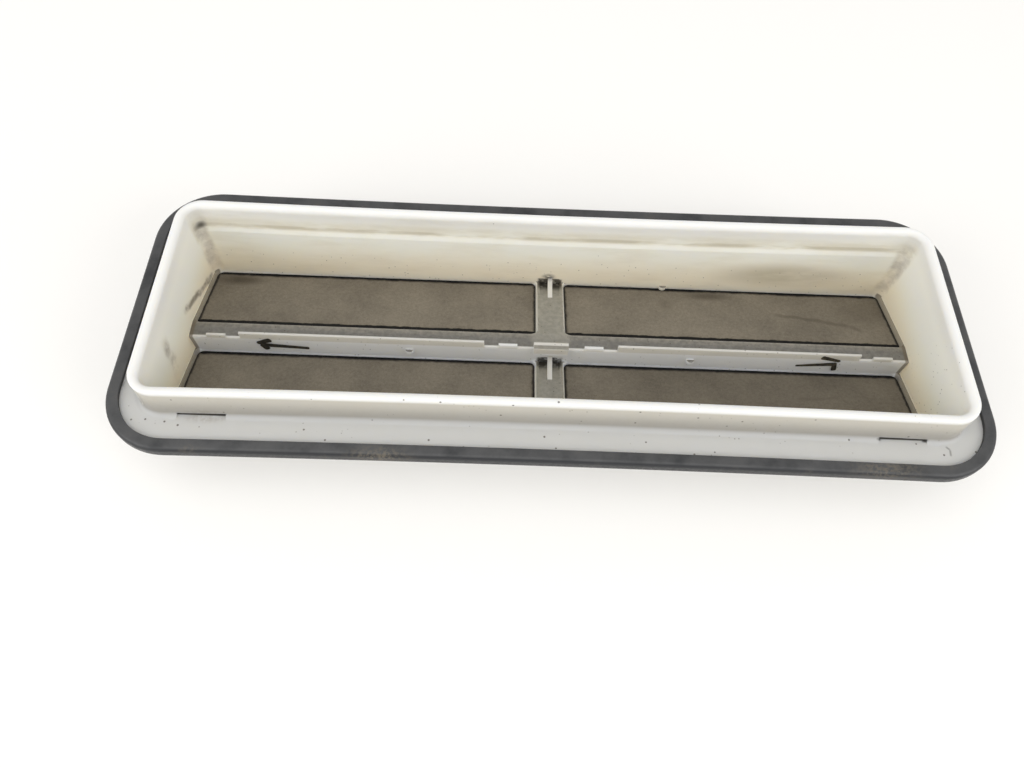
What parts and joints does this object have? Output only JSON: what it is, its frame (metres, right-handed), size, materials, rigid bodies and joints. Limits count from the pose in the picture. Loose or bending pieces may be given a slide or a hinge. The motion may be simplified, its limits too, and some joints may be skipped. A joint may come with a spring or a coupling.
{
  "type": "ventilation grille",
  "caption": "Long flanged air outlet vent with a raised collar, a rubber edge seal and a sloping window grid closed by thin swinging rubber flaps.",
  "frame": {"origin": "middle of the flange's upper face, in the middle of the panel aperture that the collar passes through", "axes": "+X along the vent, +Y across it towards the rear row, +Z out of the collar"},
  "size_m": [0.27, 0.0984, 0.04],
  "materials": {
    "white_plastic": "natural white moulded plastic, dirty in use",
    "seal_rubber": "matte dark rubber",
    "flap_rubber": "thin rubber under grey-brown dust"
  },
  "bodies": {
    "frame": {"grille_frame": "white_plastic", "flange_seal": "seal_rubber"},
    "flap_rear_left": {"flap_rear_left": "flap_rubber"},
    "flap_rear_right": {"flap_rear_right": "flap_rubber"},
    "flap_front_left": {"flap_front_left": "flap_rubber"},
    "flap_front_right": {"flap_front_right": "flap_rubber"}
  },
  "joints": [
    {"name": "flap_rear_left_swing", "type": "hinge", "parent": "frame", "child": "flap_rear_left", "pos_m": [-0.0633, 0.00318, -0.01624], "axis": [-1, 0, 0], "range_deg": [0, 40], "stiffness_Nm_per_rad": 0.006, "springref_deg": -28.65},
    {"name": "flap_rear_right_swing", "type": "hinge", "parent": "frame", "child": "flap_rear_right", "pos_m": [0.0633, 0.00318, -0.01624], "axis": [-1, 0, 0], "range_deg": [0, 40], "stiffness_Nm_per_rad": 0.006, "springref_deg": -28.65},
    {"name": "flap_front_left_swing", "type": "hinge", "parent": "frame", "child": "flap_front_left", "pos_m": [-0.0633, -0.03062, -0.01624], "axis": [-1, 0, 0], "range_deg": [0, 40], "stiffness_Nm_per_rad": 0.006, "springref_deg": -28.65},
    {"name": "flap_front_right_swing", "type": "hinge", "parent": "frame", "child": "flap_front_right", "pos_m": [0.0633, -0.03062, -0.01624], "axis": [-1, 0, 0], "range_deg": [0, 40], "stiffness_Nm_per_rad": 0.006, "springref_deg": -28.65}
  ]
}
